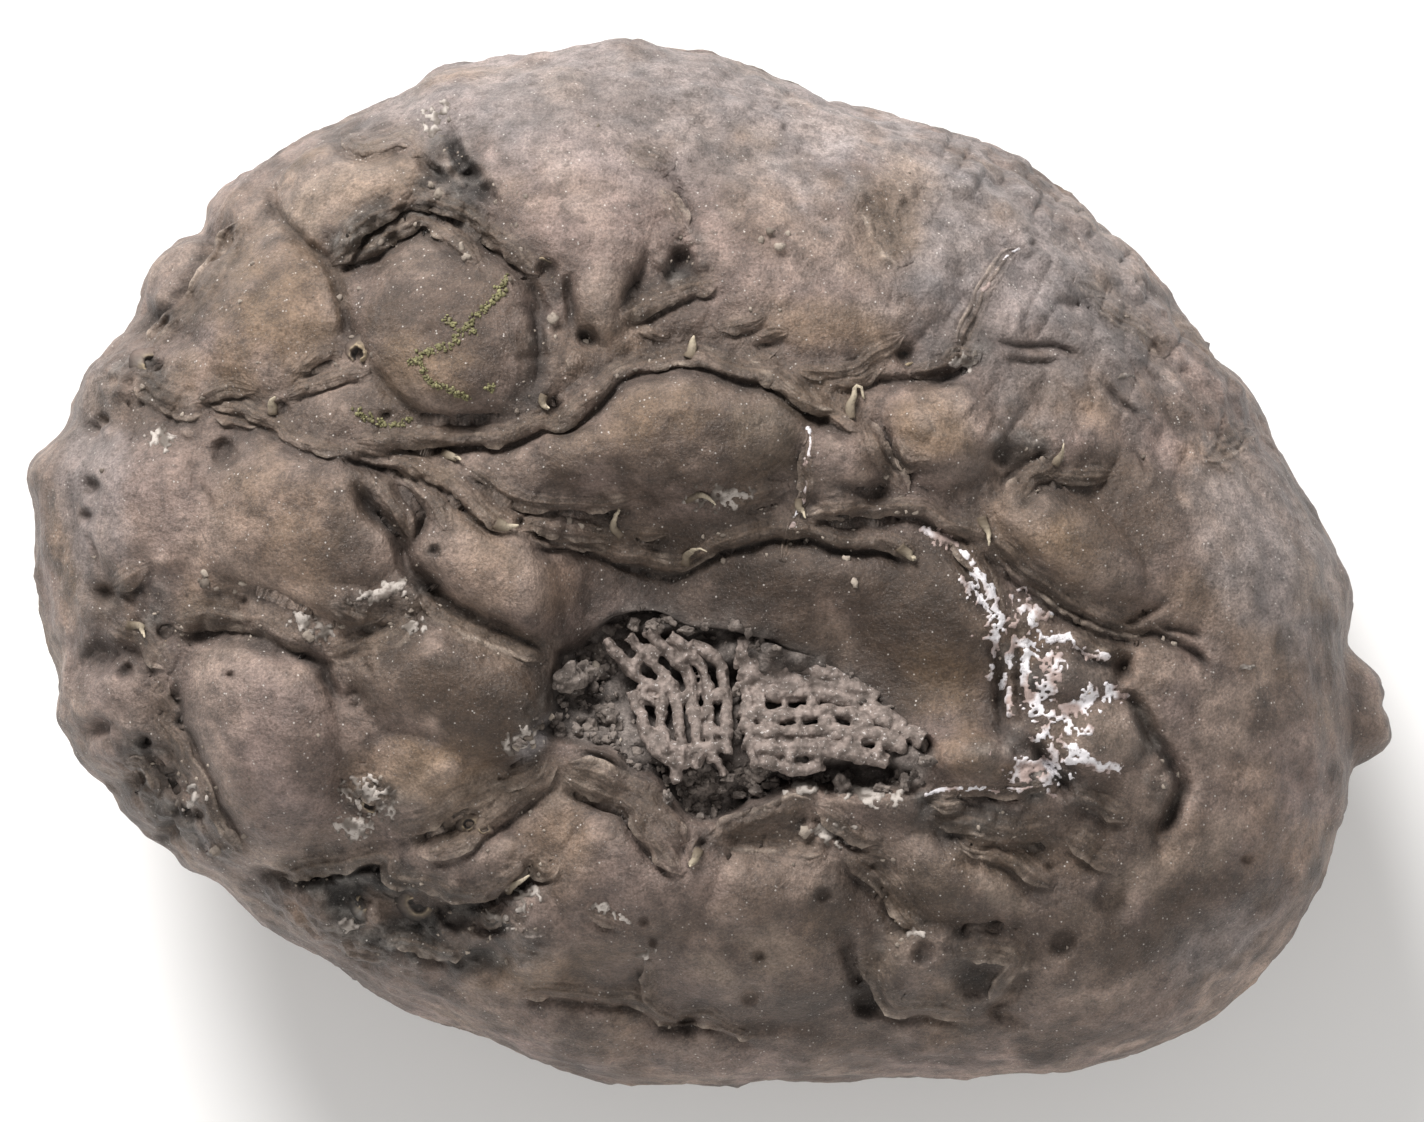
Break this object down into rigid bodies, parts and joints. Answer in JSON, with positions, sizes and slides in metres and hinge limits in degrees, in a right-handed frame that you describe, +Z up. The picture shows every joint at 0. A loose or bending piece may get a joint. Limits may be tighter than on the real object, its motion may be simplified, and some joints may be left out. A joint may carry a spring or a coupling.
{
  "type": "fossil crinoid",
  "caption": "Egg-shaped fossil cup of a sea lily, with rounded wrinkled plates, thin crests, a stub of stem and a broken hollow that shows a fine sieve. It lies on a small flat spot.",
  "frame": {"origin": "under the middle of the stone's length and width, on the surface that it rests on", "axes": "+X along the length, towards the stub of the stem; +Y to the long side that the smooth upper plates face; +Z up, out of the side with the hollow"},
  "size_m": [0.0454, 0.0348, 0.0237],
  "materials": {
    "fossil_stone": "worn brown-grey limestone with a slight waxy sheen"
  },
  "bodies": {
    "root": {"crinoid_fossil": "fossil_stone"}
  },
  "joints": []
}
